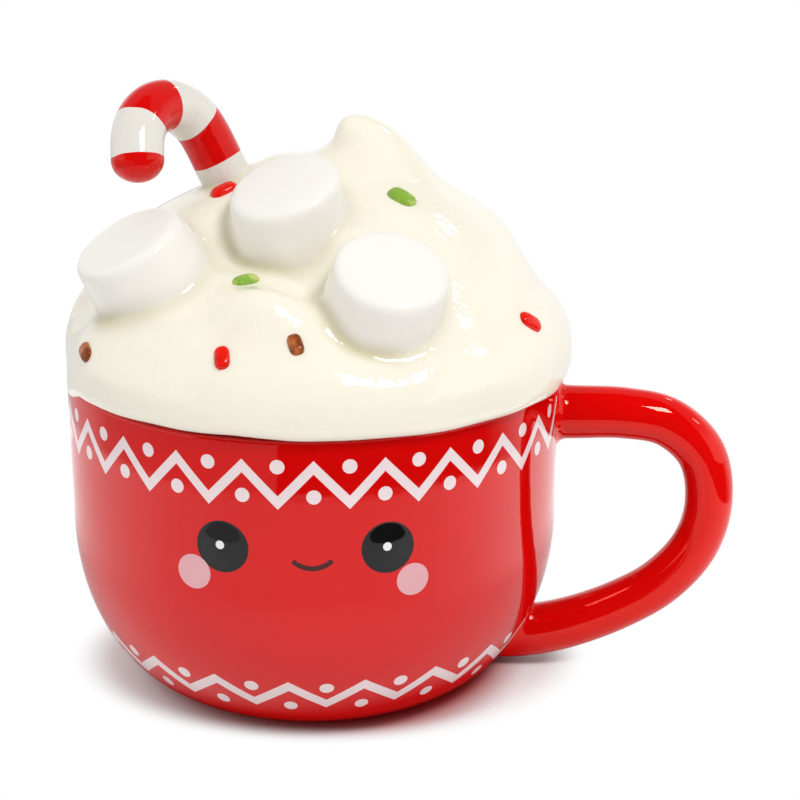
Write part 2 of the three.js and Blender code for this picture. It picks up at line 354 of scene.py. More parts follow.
paint = {
    "red": (0.665, 0.0018, 0.0015, 1),
    "plainRed": (0.78, 0.002, 0.0015, 1),  # handle and inside
    "redBounce": (0.34, 0.03, 0.03, 1),  # the weaker colour that it throws on its surroundings
    "redTint": (1, 0.42, 0.40, 1),  # the deep glaze warms what it mirrors
    "handleTint": (1, 0.34, 0.28, 1),
    "plainTint": (0.42, 0.42, 0.42, 1),
    "ior": 1.9,
    "roughness": 0.04,
    "white": (0.85, 0.715, 0.725, 1),
    "black": (0.006, 0.0055, 0.006, 1),
    "blush": (0.77, 0.40, 0.43, 1),
    "smile": (0.05, 0.004, 0.003, 1),
    "glint": (0.85, 0.84, 0.84, 1),
    "uneven": {"Wave": 45.0, "Strength": 0.05, "Fine": 0.04},
    "toneSpread": 0.16,
    "domeDepth": 0.36,  # the eyes stand up a little
    "upperBand": {"peaks": 24, "phase": 2.44, "middle": 62.9, "swing": 3.78, "stroke": 1.42, "radius": 55,
                  "stretch": 1, "dot": 1.5, "upperDots": 66.73, "lowerDots": 60.42},
    "lowerBand": {"peaks": 20, "phase": -4.07, "middle": 13.9, "swing": 2.7, "stroke": 1.3, "radius": 49.7,
                  "stretch": 1.12, "dot": 1.5, "upperDots": 16.1, "lowerDots": 10.5},
    # along the wall from the face's middle, height and radius of each spot
    "leftEye": (-16.6, 48.8, 5.6),
    "rightEye": (17.35, 48.7, 5.55),
    "leftGlint": (-17.1, 49.1, 0.92),
    "rightGlint": (17.2, 48.9, 0.92),
    "leftCheek": (-23.15, 42.35, 3.75),
    "rightCheek": (22.75, 40.95, 3.5),
    "smileRing": (1.92, 50.62, 5.51),
    "smileStroke": 0.55,
    "smileTop": 46.44,
    "smileLeftEnd": (-1.66, 46.4, 0.55),
    "smileRightEnd": (5.51, 46.48, 0.55),
    "clay": (0.62, 0.56, 0.47, 1),
    "clayLight": (0.8, 0.76, 0.68, 1),
    "clayRoughness": 0.75,
    "clayGrain": 900.0,
    "clayDepth": 0.2,
}


def flatLength(tree, across, up):
    flat = put(tree, "ShaderNodeCombineXYZ", {0: across, 1: up}).outputs[0]
    return vectorMath(tree, "LENGTH", flat)["Value"]


# A painted band: a zigzag with a dot above each valley and below each peak
def bandMask(tree, heading, height, band):
    degrees = calc(tree, "SUBTRACT", calc(tree, "MULTIPLY", heading, 180 / math.pi), band["phase"])
    turn = calc(tree, "DIVIDE", calc(tree, "MULTIPLY", degrees, band["peaks"]), 360.0)
    toPeak = calc(tree, "PINGPONG", turn, 0.5)
    toValley = calc(tree, "SUBTRACT", 0.5, toPeak)
    swing = calc(tree, "MULTIPLY", calc(tree, "SUBTRACT", toValley, toPeak), 2 * band["swing"] * mm)
    line = calc(tree, "ADD", swing, band["middle"] * mm)
    off = calc(tree, "ABSOLUTE", calc(tree, "SUBTRACT", height, line))
    mask = calc(tree, "LESS_THAN", off, band["stroke"] * mm)
    pitch = 2 * math.pi * band["radius"] * mm / band["peaks"]
    for away, dots in ((toValley, band["upperDots"]), (toPeak, band["lowerDots"])):
        across = calc(tree, "MULTIPLY", away, pitch)
        up = calc(tree, "MULTIPLY", calc(tree, "SUBTRACT", height, dots * mm), band["stretch"])
        dot = calc(tree, "LESS_THAN", flatLength(tree, across, up), band["dot"] * mm)
        mask = calc(tree, "MAXIMUM", mask, dot)
    return mask


# How far a place on the upright wall lies from the middle of a painted spot, in spot radii
def spotReach(tree, heading, height, spot):
    along, middle, size = toMetres(spot)
    across = calc(tree, "SUBTRACT", calc(tree, "MULTIPLY", heading, mug["bodyRadius"] * mm), along)
    up = calc(tree, "SUBTRACT", height, middle)
    return calc(tree, "DIVIDE", flatLength(tree, across, up), size)


# The bands and the face: the colour with them on it, where they are, and the domes of the eyes
def paintPrint(tree, place, color):
    split = put(tree, "ShaderNodeSeparateXYZ", {0: place}).outputs
    height = split[2]
    heading = headingOf(tree, split)
    front = calc(tree, "LESS_THAN", split[1], 0.0)

    def spot(name):
        reach = spotReach(tree, heading, height, paint[name])
        return reach, calc(tree, "MULTIPLY", calc(tree, "LESS_THAN", reach, 1.0), front)

    upper = bandMask(tree, heading, height, paint["upperBand"])
    lower = bandMask(tree, heading, height, paint["lowerBand"])
    printedOver = calc(tree, "MAXIMUM", upper, lower)
    color = mixColor(tree, printedOver, color, paint["white"])
    domes = 0.0
    for side in ("left", "right"):
        reach, eye = spot(side + "Eye")
        color = mixColor(tree, eye, color, paint["black"])
        slope = calc(tree, "SUBTRACT", 1.0, calc(tree, "POWER", reach, 2.0))
        dome = calc(tree, "MULTIPLY", calc(tree, "MULTIPLY", slope, slope), eye)
        domes = calc(tree, "ADD", domes, dome)
        cheek = spot(side + "Cheek")[1]
        color = mixColor(tree, cheek, color, paint["blush"])
        printedOver = calc(tree, "MAXIMUM", printedOver, calc(tree, "MAXIMUM", eye, cheek))
        color = mixColor(tree, spot(side + "Glint")[1], color, paint["glint"])
    ring = spotReach(tree, heading, height, paint["smileRing"])
    offRing = calc(tree, "ABSOLUTE", calc(tree, "SUBTRACT", ring, 1.0))
    stroke = calc(tree, "LESS_THAN", offRing, paint["smileStroke"] / paint["smileRing"][2])
    low = calc(tree, "LESS_THAN", height, paint["smileTop"] * mm)
    smile = calc(tree, "MULTIPLY", calc(tree, "MULTIPLY", stroke, low), front)
    for end in ("smileLeftEnd", "smileRightEnd"):
        smile = calc(tree, "MAXIMUM", smile, spot(end)[1])
    color = mixColor(tree, smile, color, paint["smile"])
    return color, calc(tree, "MAXIMUM", printedOver, smile), domes


def makeRedGlaze(name, glazeGroup, printed):
    material, tree, shader, place = newMaterial(name, paint["roughness"])
    shader.inputs["IOR"].default_value = paint["ior"]
    if printed:
        color, printedOver, domes = paintPrint(tree, place, paint["red"])
        tint = mixColor(tree, printedOver, paint["redTint"], paint["plainTint"])
        tree.links.new(tint, shader.inputs["Specular Tint"])
    else:
        color = paint["plainRed"][:3]
        domes = 0.0
        shader.inputs["Specular Tint"].default_value = paint["handleTint"]
    tone = unevenGlaze(tree, shader, glazeGroup, {
        "Place": place, "Relief": domes, "Relief Depth": paint["domeDepth"] * mm, **paint["uneven"]})
    tone = calc(tree, "SUBTRACT", tone, 0.5)
    shade = calc(tree, "ADD", 1.0, calc(tree, "MULTIPLY", tone, paint["toneSpread"]))
    toned = put(tree, "ShaderNodeVectorMath", {0: color, "Scale": shade}, operation="SCALE").outputs[0]
    bounce = put(tree, "ShaderNodeLightPath").outputs["Is Diffuse Ray"]
    tree.links.new(mixColor(tree, bounce, toned, paint["redBounce"]), shader.inputs["Base Color"])
    return material


def makeFootClay():
    material, tree, shader, place = newMaterial("footClay", paint["clayRoughness"])
    grain = put(tree, "ShaderNodeTexNoise", {
        "Vector": place, "Scale": paint["clayGrain"], "Detail": 4.0}).outputs[0]
    tree.links.new(mixColor(tree, grain, paint["clay"], paint["clayLight"]), shader.inputs["Base Color"])
    bump = put(tree, "ShaderNodeBump", {
        "Height": grain, "Strength": 0.4, "Distance": paint["clayDepth"] * mm})
    tree.links.new(bump.outputs[0], shader.inputs["Normal"])
    return material


# Outward distance of places from the mug's outer surface
def distanceFromBody(places):
    upBelly, upWall = mug["measured"]
    levels = np.linspace(mug["bellyHeight"], mug["rimHeight"], upWall)
    profile = belly(mug["footRadius"], mug["bodyRadius"], 0, mug["bellyHeight"], upBelly)
    profile = np.array(profile + [(mug["bodyRadius"], level) for level in levels])
    radial = np.hypot(places[:, 0], places[:, 1])
    flat = np.column_stack([radial, places[:, 2]])
    gaps = np.linalg.norm(flat[:, None, :] - profile[None, :, :], axis=2)
    nearest = profile[gaps.argmin(axis=1)]
    wallRadius = np.interp(places[:, 2], profile[:, 1], profile[:, 0])
    return np.where(radial > wallRadius, 1, -1) * np.linalg.norm(flat - nearest, axis=1)


def makeHandle():
    course, lengths = smoothCourse(mug["handleCourse"], mug["handleSteps"])
    share = np.sin(math.pi * lengths / lengths[-1])
    radii = mug["handleRoot"] + (mug["handleOuter"] - mug["handleRoot"]) * share
    handle = tubeAlong("handle", course, radii, mug["handleSides"])
    places = vertexPlaces(handle)
    rings = places[:mug["handleSides"] * len(course)].reshape(len(course), mug["handleSides"], 3)
    turn = math.radians(mug["handleTurn"])
    spin = np.array([[math.cos(turn), -math.sin(turn), 0], [math.sin(turn), math.cos(turn), 0], [0, 0, 1]])
    rings = rings @ spin.T
    middles = rings.mean(axis=1, keepdims=True)
    gap = distanceFromBody(rings.reshape(-1, 3)).reshape(rings.shape[:2])
    size = mug["rootFillet"]
    near = np.clip(1 - gap / size, 0, 1)
    swell = size * (1 - np.sqrt(1 - near ** 2))
    outward = rings - middles
    outward /= np.linalg.norm(outward, axis=2, keepdims=True)
    rings = rings + outward * swell[:, :, None]
    setVertexPlaces(handle, rings.reshape(-1, 3))
    return handle


def makeMug(glazeGroup):
    inside = mug["bodyRadius"] - mug["wall"]
    outline = [(mug["recessRadius"] + out, mug["recess"] * share) for out, share in mug["recessEdge"]]
    outline += belly(mug["footRadius"], mug["bodyRadius"], 0, mug["bellyHeight"], mug["bellySteps"])
    outline += [(mug["bodyRadius"], level) for level in mug["wallLevels"]]
    outline += quarterRound(mug["bodyRadius"], mug["rimHeight"], mug["lipRound"], 1, mug["roundSteps"])
    body = turned("mugBody", outline, mug["sides"])
    low = mug["floor"]
    high = mug["bellyHeight"] + mug["innerRise"]
    hollowLine = [(mug["hollowStart"], low)]
    hollowLine += belly(mug["footRadius"] - mug["wall"] / 2, inside, low, high, mug["bellySteps"])
    hollowLine += quarterRound(inside, mug["rimHeight"], mug["lipRound"], -1, mug["roundSteps"])
    hollowLine += [(inside + mug["lipRound"], mug["rimHeight"] + mug["cutterOver"])]
    hollow = turned("mugHollow", hollowLine, mug["sides"])
    handle = makeHandle()
    printed = makeRedGlaze("printedRedGlaze", glazeGroup, True)
    plain = makeRedGlaze("plainRedGlaze", glazeGroup, False)
    clay = makeFootClay()
    for part, slot in ((body, 0), (handle, 1), (hollow, 1)):
        for material in (printed, plain, clay):
            part.data.materials.append(material)
        part.data.polygons.foreach_set("material_index", [slot] * len(part.data.polygons))
    combine(body, handle, "UNION")
    combine(body, hollow, "DIFFERENCE")
    body.name = "mugBody"
    for face in body.data.polygons:
        middle = face.center / mm
        if middle.z < mug["clayHeight"] and math.hypot(middle.x, middle.y) < mug["clayRadius"]:
            face.material_index = 2
    smoothShade(body, mug["edgeAngle"])
    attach(body, "root")
    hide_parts("mug")
    print("mug made", len(body.data.polygons), "faces")


# The lid: cream, with marshmallows and the foot of a cane fused to it

lid = {
    "seat": 72.3,
    "collarDepth": 6.5,
    "collarOuter": 49.4,
    "collarInner": 45.4,
    "collarRound": 1,
    "collarSteps": 6,
    "collarRise": 3,  # how far it reaches up into the cream
    "cutterOver": 5,
    "domeBase": 77,
    "domeTop": 102,
    "domePower": 1.75,
    "domeSteps": 36,
    "levels": [
        (55.3, 72.35), (56.85, 72.8), (57.55, 74), (57.7, 76.4), (57.4, 80), (56, 83.9), (53.7, 87.3),
        (50.6, 90.9), (47.8, 94.8), (44.6, 99.2), (40, 103.8), (33.6, 108), (25.5, 112), (16.5, 115.4),
        (8, 117.8), (0.9, 118.6),
    ],
    "topOffset": (7, 1),
    "sides": 160,
    "rings": 70,
    # centre, reach and move of every swell and hollow, one after the other
    "pushes": [
        ((39, 14, 104), 17, (0.8, 0.4, -0.3)),  # right shoulder
        ((14.5, 5, 117), 17, (0, 0, 8.4)),  # ridge
        ((11.5, 3, 125), 9.5, (-4, -0.5, 1.4)),  # crest
        ((-8, -1, 118), 13, (0, 0, 2.4)),  # hump by the crest
        ((47, 4, 96), 11, (-1.6, 0, -0.4)),  # dimple under the shoulder
        ((-55, -12, 80), 27, (3.1, 0.6, -0.3)),  # left side
        ((-5, -30, 109), 30, (0, 0, -8)),  # bowl before the middle
        ((-9, -42, 98), 13, (0, -2.5, 3.5)),  # front swell
        ((-37, -33, 93), 13, (-0.6, -0.8, 1.8)),  # swell under the left marshmallow
        ((-20, 36, 103), 17, (-0.4, 1.2, 1.4)),  # swell at the back
        ((6, 44, 98), 14, (0, -1.4, -0.6)),  # furrow at the back
        ((31, 41, 92), 15, (0.8, 1, 0.8)),  # low swell at the back right
        ((17, -47, 90), 14, (0, 0.8, -1.8)),  # hollow under the front marshmallow
        ((2, -36, 98), 12, (0.2, 1.0, -4.6)),  # and left of it
        ((8, -45, 91), 10, (0.3, 1.4, -2.4)),  # and at its front left
        ((-9, -37, 102), 12, (0, 0, -2.0)),  # before the middle marshmallow
        ((-18, -27, 107), 10, (0, 0, -2.2)),  # left of the middle marshmallow
        ((-23, -36, 99), 11, (0, 0, -2.2)),  # right of the left marshmallow
        ((-52, -18, 93), 12, (1.6, 0.8, -2.4)),  # left shoulder
        ((-54, -12, 89), 13, (1.6, 0, -2.2)),
        ((-53, -12, 91), 9, (1.6, 0.4, -1.8)),
        ((-54, 2, 87), 9, (2.2, 0, -1.0)),
        ((-56.6, 7, 75.5), 8, (0.2, 0, 0)),  # its widest point
        ((7.5, -28, 105), 9, (0, -0.3, 2.2)),  # saddle between the middle and the front marshmallow
        ((-54, 1, 88.5), 9, (1.6, 0, -1.0)),  # left shoulder again
        ((-13, -26, 104.5), 10, (0, -0.2, -2.4)),  # left foot of the middle marshmallow
        ((51, 8, 91), 9, (-1.5, 0, -0.7)),  # notch under the right shoulder
        ((-42.4, -35.5, 72.4), 14, (0, 0, 0.4)),  # the lower edge is a little higher at the left front
        ((-29.3, -46.9, 72.4), 14, (0, 0, 0.55)),
        ((-13.4, -53.7, 72.4), 14, (0, 0, 0.65)),
        ((27.7, -47.9, 72.4), 14, (0, 0, -0.4)),  # and lower at the right and at the far left
        ((42.4, -35.5, 72.4), 14, (0, 0, -0.55)),
        ((50.1, -23.4, 72.4), 12, (0.2, -0.1, -0.9)),
        ((-52, -19, 72.4), 12, (-0.4, -0.1, -2.8)),
    ],
    "voxel": 0.62,
    "evenOut": 18,  # smoothing passes above the lower edge
    "evenOutFrom": (73.6, 76),
    "lastPasses": 2,  # and these all over
    # the creases round the toppings get the olive of pooled glaze, darkened further as painted shade, a
    # little all round and most on the side away from the key light
    "shadeSide": (-0.75, -0.66),  # the side of the toppings away from the key light, where the painted shade in the creases is darkest
    "poolAndShadeWidth": 2.0,
    "poolAndShadeAllRound": 0.3,
    "poolAndShadeShare": 0.62,
    "poolAndShade": (0.46, 0.41, 0.17, 1),
    "filletReach": 2.6,
    "filletStart": 0.45,  # the share of that within which it is full
    "filletPasses": 30,
    "toppingEdge": (-0.15, 0.8),  # from cream to topping, -1 to 1
    "roughness": 0.07,
    "gloss": 0.5,
    "toppingDuller": 0.25,
    "uneven": {"Wave": 70.0, "Strength": 0.15},
    "fine": 0.45,
    "toppingSmoother": 0.38,
    "fineFade": (0.9, 0.66),  # where the surface turns away from the eye
    "edgeAngle": 60,
    "cream": (0.90, 0.845, 0.70, 1),
    "creamLight": (0.91, 0.87, 0.755, 1),
    "toppingWhite": (0.88, 0.852, 0.798, 1),
}


def makeCream():
    levels, lengths = smoothCourse(lid["levels"], lid["rings"])
    rings = []
    for (radius, height), length in zip(levels, lengths):
        towardsTop = (length / lengths[-1]) ** 2
        rings.append((radius, height, [offset * towardsTop for offset in lid["topOffset"]]))
    cream = stackRings("cream", rings, lid["sides"])
    pick(cream)
    bpy.ops.object.mode_set(mode="EDIT")
    for at, reach, move in lid["pushes"]:
        # a tiny ring to pull at, which takes what lies round it along
        bpy.ops.mesh.select_all(action="DESELECT")
        bpy.ops.mesh.primitive_circle_add(vertices=3, radius=1e-6, location=toMetres(at))
        bpy.ops.transform.translate(
            value=toMetres(move), use_proportional_edit=True, proportional_edit_falloff="SMOOTH",
            proportional_size=reach * mm, use_proportional_connected=False)
        bpy.ops.mesh.delete(type="VERT")
    bpy.ops.object.mode_set(mode="OBJECT")
    return cream


marshmallow = {
    "height": 22,
    "levels": (1, 0.75, 0.5, 0.25),
    "flare": 1.5,  # how suddenly its foot spreads
    "round": 1.4,
    "crown": 0.3,
    "crownRings": [(0.55, 0.8), (0.2, 1)],  # shares of the radius and of the crown
    "sides": 96,
    "roundSteps": 6,
    # radius, middle of the top face, the way that it looks, and how its foot spreads and shifts
    "places": [
        (11.7, (17.8, -43.2, 104.35), (0.162, -0.478, 0.863), 1.6, (-1.0, -0.2)),  # front
        (11.9, (-5.0, -22.5, 116.9), (-0.25, -0.364, 0.897), 2.6, (-3.4, 0.4)),  # middle
        (12.1, (-37.1, -27, 106.1), (-0.41, -0.26, 0.87), 3.6, (1.2, -0.8)),  # left
    ],
}


def marshmallowFrame(face, up):
    turn = Vector((0, 0, 1)).rotation_difference(Vector(up).normalized())
    return Matrix.Translation(Vector(face) * mm) @ turn.to_matrix().to_4x4()


def makeMarshmallow(radius, face, up, spread, shift):
    profile = quarterRound(radius, 0, marshmallow["round"], 1, marshmallow["roundSteps"])
    profile += [(radius * out, marshmallow["crown"] * share) for out, share in marshmallow["crownRings"]]
    levels = []
    for down in marshmallow["levels"]:
        grown = radius + spread * down ** marshmallow["flare"]
        levels.append((grown, -marshmallow["height"] * down, (shift[0] * down, shift[1] * down)))
    levels += [(size, height, (0, 0)) for size, height in profile]
    piece = stackRings("marshmallow", levels, marshmallow["sides"])
    piece.matrix_world = marshmallowFrame(face, up)
    placeForGood(piece)
    return piece


cane = {
    "radius": 5.5,
    "foot": (-18, 0, 112),
    "lean": 24.9,
    "leanHeading": 188,
    "hookHeading": 236.8,
    "root": 8,
    "leg": 11.6,
    "bend": 11.6,
    "bendPoints": 8,
    "sweep": 144,
    "end": 7,
    "tipRound": 4.6,
    "tipFlat": 0.1,
    "sides": 48,
    "steps": 150,
    "stubRadius": 5.2,  # the cream's own stump inside the cane, which makes the fillet round it
    "stubLength": 5,
    "stripes": (6.3, 15.7, 25.9, 35.0, 43.0),  # edges from the foot, first white to red
    "wobble": 0.9,
    "wobbleScale": 160.0,
    "edgeAngle": 50,
    "roughness": 0.06,
    "uneven": {"Wave": 60.0, "Strength": 0.08, "Fine": 0.1},
    "white": (0.765, 0.73, 0.665, 1),
    "red": (0.67, 0.0035, 0.003, 1),
    "redTint": (1, 0.5, 0.45, 1),
    "bounce": (0.62, 0.5, 0.46, 1),  # it throws little colour on the cream
}


def caneFrame():
    lean, heading, hookHeading = (math.radians(cane[key]) for key in ("lean", "leanHeading", "hookHeading"))
    across = math.sin(lean)
    leg = Vector((across * math.cos(heading), across * math.sin(heading), math.cos(lean)))
    hook = Vector((math.cos(hookHeading), math.sin(hookHeading), 0))
    hook = (hook - leg * hook.dot(leg)).normalized()
    turn = Matrix((hook, leg.cross(hook), leg)).transposed().to_4x4()
    return Matrix.Translation(Vector(cane["foot"]) * mm) @ turn


def caneCourse():
    points = [(0, -cane["root"]), (0, 0), (0, cane["leg"] / 2)]
    sweep = math.radians(cane["sweep"])
    for i in range(cane["bendPoints"] + 1):
        angle = sweep * i / cane["bendPoints"]
        points.append((cane["bend"] * (1 - math.cos(angle)), cane["leg"] + cane["bend"] * math.sin(angle)))
    across, up = points[-1]
    points.append((across + cane["end"] * math.sin(sweep), up + cane["end"] * math.cos(sweep)))
    return smoothCourse(points, cane["steps"])


def makeLidHollow():
    top = lid["domeTop"] - lid["domeBase"]
    profile = [(lid["collarInner"], lid["seat"] - lid["collarDepth"] - lid["cutterOver"])]
    for i in range(lid["domeSteps"]):
        angle = math.pi / 2 * i / lid["domeSteps"]
        radius = lid["collarInner"] * math.cos(angle) ** (2 / lid["domePower"])
        profile.append((radius, lid["domeBase"] + top * math.sin(angle) ** (2 / lid["domePower"])))
    return turned("lidHollow", profile, lid["sides"])


def makeCollar():
    low = lid["seat"] - lid["collarDepth"]
    outer = lid["collarOuter"]
    size = lid["collarRound"]
    profile = [(outer - size - 0.01, low)]
    for i in range(lid["collarSteps"] + 1):
        angle = math.pi / 2 * i / lid["collarSteps"]
        profile.append((outer - size * (1 - math.sin(angle)), low + size * (1 - math.cos(angle))))
    profile.append((outer, lid["seat"] + lid["collarRise"]))
    return turned("collar", profile, lid["sides"])


def makeCaneStub():
    course, lengths = caneCourse()
    kept = lengths - cane["root"] < cane["stubLength"]
    stub = tubeAlong("stub", course[kept], np.full(kept.sum(), cane["stubRadius"]), cane["sides"])
    stub.matrix_world = caneFrame()
    placeForGood(stub)
    return stub


def makeCreamGlaze(glazeGroup):
    material, tree, shader, place = newMaterial("creamGlaze", lid["roughness"])
    topping = put(tree, "ShaderNodeAttribute", attribute_name="topping").outputs["Fac"]
    crease = put(tree, "ShaderNodeAttribute", attribute_name="crease").outputs["Fac"]
    # the fine unevenness is in the cream, hardly in the toppings, and fades at the outlines
    fine = calc(tree, "SUBTRACT", lid["fine"], calc(tree, "MULTIPLY", topping, lid["toppingSmoother"]))
    grazing = put(tree, "ShaderNodeLayerWeight", {"Blend": 0.5}).outputs["Facing"]
    fine = calc(tree, "MULTIPLY", fine, softRange(tree, grazing, *lid["fineFade"]))
    tone = unevenGlaze(tree, shader, glazeGroup, {"Place": place, "Fine": fine, **lid["uneven"]})
    gloss = calc(tree, "SUBTRACT", lid["gloss"], calc(tree, "MULTIPLY", topping, lid["toppingDuller"]))
    tree.links.new(gloss, shader.inputs["Specular IOR Level"])
    base = mixColor(tree, tone, lid["cream"], lid["creamLight"])
    color = mixColor(tree, topping, base, lid["toppingWhite"])
    # in the creases the pooled glaze colour, with painted shade in it, darkest on the side away from the
    # key light
    pooledAndShaded = calc(tree, "MULTIPLY", crease, lid["poolAndShadeShare"])
    color = mixColor(tree, pooledAndShaded, color, lid["poolAndShade"])
    tree.links.new(color, shader.inputs["Base Color"])
    return material


def makeLid(glazeGroup):
    cream = makeCream()
    creamTree = BVHTree.FromObject(cream, bpy.context.evaluated_depsgraph_get())
    additions = [makeMarshmallow(*place) for place in marshmallow["places"]] + [makeCaneStub()]
    trees = [BVHTree.FromObject(piece, bpy.context.evaluated_depsgraph_get()) for piece in additions]
    joinInto(cream, additions)
    applyModifier(cream, "REMESH", mode="VOXEL", voxel_size=lid["voxel"] * mm)
    weigh(cream, "upper", softStep(*lid["evenOutFrom"], vertexPlaces(cream)[:, 2]))
    applyModifier(cream, "SMOOTH", factor=0.5, iterations=lid["evenOut"], vertex_group="upper")
    applyModifier(cream, "SMOOTH", factor=0.5, iterations=lid["lastPasses"])
    print("cream remeshed", len(cream.data.polygons), "faces")
    # a fillet where a topping meets the cream
    places = vertexPlaces(cream)
    toCream = np.array([creamTree.find_nearest(Vector(p) * mm)[3] for p in places]) / mm
    toTopping = np.array([[tree.find_nearest(Vector(p) * mm)[3] for tree in trees] for p in places]) / mm
    nearest = toTopping.min(axis=1)
    crease = np.maximum(toCream, nearest)
    fillet = 1 - softStep(lid["filletReach"] * lid["filletStart"], lid["filletReach"], crease)
    weigh(cream, "fillet", fillet)
    applyModifier(cream, "SMOOTH", factor=0.5, iterations=lid["filletPasses"], vertex_group="fillet")
    # what the glaze reads: how far a place is topping, and how deep in the crease, which carries the pooled
    # glaze colour and painted shade
    side = (toCream - nearest) / np.maximum(toCream + nearest, 0.01)
    storeShare(cream, "topping", softStep(*lid["toppingEdge"], side))
    middles = np.array([place[1] for place in marshmallow["places"]] + [cane["foot"]])
    outward = places[:, :2] - middles[toTopping.argmin(axis=1), :2]
    outward /= np.maximum(np.linalg.norm(outward, axis=1, keepdims=True), 0.01)
    # painted shade: the crease darkens most on the side of a topping away from the key light
    shaded = np.clip(outward @ np.array(lid["shadeSide"]), 0, 1)
    poolAndShade = np.exp(-(crease / lid["poolAndShadeWidth"]) ** 2)
    storeShare(cream, "crease", poolAndShade * (lid["poolAndShadeAllRound"] + (1 - lid["poolAndShadeAllRound"]) * shaded))
    combine(cream, makeCollar(), "UNION")
    combine(cream, makeLidHollow(), "DIFFERENCE")
    cream.name = "creamLid"
    cream.data.materials.clear()
    cream.data.materials.append(makeCreamGlaze(glazeGroup))
    smoothShade(cream, lid["edgeAngle"])
    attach(cream, "root")
    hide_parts("lid")
    print("lid made", len(cream.data.polygons), "faces")
    return cream


# The cane above the cream, and the sprinkles

def makeCaneGlaze(glazeGroup):
    material, tree, shader, place = newMaterial("caneGlaze", cane["roughness"])
    along = put(tree, "ShaderNodeAttribute", attribute_name="along").outputs["Fac"]
    wobble = put(tree, "ShaderNodeTexNoise", {
        "Vector": place, "Scale": cane["wobbleScale"], "Detail": 1.0}).outputs[0]
    wobble = calc(tree, "MULTIPLY", calc(tree, "SUBTRACT", wobble, 0.5), cane["wobble"])
    along = calc(tree, "ADD", along, wobble)
    red = 0.0
    for i, edge in enumerate(cane["stripes"]):
        passed = calc(tree, "GREATER_THAN", along, edge)
        red = calc(tree, "ADD" if i % 2 == 0 else "SUBTRACT", red, passed)
    tree.links.new(mixColor(tree, red, (1, 1, 1, 1), cane["redTint"]), shader.inputs["Specular Tint"])
    rays = put(tree, "ShaderNodeLightPath").outputs
    thrown = calc(tree, "MAXIMUM", rays["Is Diffuse Ray"], rays["Is Glossy Ray"])
    color = mixColor(tree, red, cane["white"], cane["red"])
    color = mixColor(tree, thrown, color, cane["bounce"])
    tree.links.new(color, shader.inputs["Base Color"])
    unevenGlaze(tree, shader, glazeGroup, {"Place": place, **cane["uneven"]})
    return material


def makeCane(glazeGroup):
    course, lengths = caneCourse()
    toTip = lengths[-1] - lengths
    share = np.clip(1 - toTip / cane["tipRound"], 0, 1)
    radii = cane["radius"] * np.maximum(cane["tipFlat"], np.sqrt(1 - share ** 2))
    piece = tubeAlong("candyCane", course, radii, cane["sides"])
    storeShare(piece, "along", np.repeat(lengths - cane["root"], cane["sides"]))
    piece.matrix_world = caneFrame()
    placeForGood(piece)
    piece.data.materials.append(makeCaneGlaze(glazeGroup))
    smoothShade(piece, cane["edgeAngle"])
    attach(piece, "root")
    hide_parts("lid")
    print("cane made", len(piece.data.polygons), "faces")


sprinkle = {
    "half": (2.95, 1.85, 1.3),
    "blunt": (0.6, 0.8),  # below 1 the ends and the sides are blunter than an egg's
    "segments": 28,
    "rings": 16,
    "edgeAngle": 60,
    "roughness": 0.08,
    "gloss": 0.36,
    "uneven": {"Wave": 300.0, "Strength": 0.15, "Fine": 0.3},
    "patchScale": 260.0,
    "patchEdge": (0.5, 0.66),
    # a point by the surface, direction in plan, size and colour
    "places": [
        ((19.5, -16.6, 112.8), -35, 1.12, "green"), ((46.4, -25.7, 88.5), 18, 1, "red"),
        ((-1.1, -50.6, 90.6), 107, 0.81, "brown"), ((-15.5, -50.7, 87.9), 90, 0.86, "red"),
        ((-12, -34, 99.2), 45, 1.0, "green"), ((-18.6, -8, 112.3), 28, 1.05, "red"),
        ((-46.3, -33, 84), 100, 0.88, "brown"), ((30, 28, 103), 60, 1.05, "brown"),
        ((6, 37, 106), 10, 0.95, "red"), ((-22, 27, 107), 140, 1.1, "green"), ((-41, 18, 99), 75, 1, "red"),
        ((14, 50, 89), -20, 1, "green"), ((43, 28, 90), 20, 0.95, "red"),
        ((-27, 43, 91), -60, 1.05, "brown"),
    ],
    # each colour, and the one that shows through in patches
    "colors": {
        "red": ((0.80, 0.012, 0.006, 1), (0.62, 0.01, 0.006, 1)),
        "green": ((0.24, 0.42, 0.05, 1), (0.50, 0.62, 0.14, 1)),
        "brown": ((0.22, 0.045, 0.011, 1), (0.46, 0.14, 0.04, 1)),
    },
}


def makeGrain(surface, near, turn, size):
    point, normal = surface.find_nearest(toMetres(near))[:2]
    deselect()
    bpy.ops.mesh.primitive_uv_sphere_add(
        segments=sprinkle["segments"], ring_count=sprinkle["rings"], radius=mm)
    grain = bpy.context.object
    shape = vertexPlaces(grain)
    for axis, blunt in enumerate(sprinkle["blunt"]):
        shape[:, axis] = np.sign(shape[:, axis]) * np.abs(shape[:, axis]) ** blunt
    setVertexPlaces(grain, shape)
    tilt = Vector((0, 0, 1)).rotation_difference(normal).to_matrix().to_4x4()
    spin = Matrix.Rotation(math.radians(turn), 4, "Z")
    grow = Matrix.Diagonal((*(half * size for half in sprinkle["half"]), 1))
    grain.matrix_world = Matrix.Translation(point) @ tilt @ spin @ grow
    placeForGood(grain)
    return grain


def makeSprinkleGlaze(name, color, patchColor, glazeGroup):
    material, tree, shader, place = newMaterial(name, sprinkle["roughness"])
    shader.inputs["Specular IOR Level"].default_value = sprinkle["gloss"]
    unevenGlaze(tree, shader, glazeGroup, {"Place": place, **sprinkle["uneven"]})
    patch = put(tree, "ShaderNodeTexNoise", {
        "Vector": place, "Scale": sprinkle["patchScale"], "Detail": 2.0}).outputs[0]
    patch = softRange(tree, patch, *sprinkle["patchEdge"])
    tree.links.new(mixColor(tree, patch, color, patchColor), shader.inputs["Base Color"])
    return material


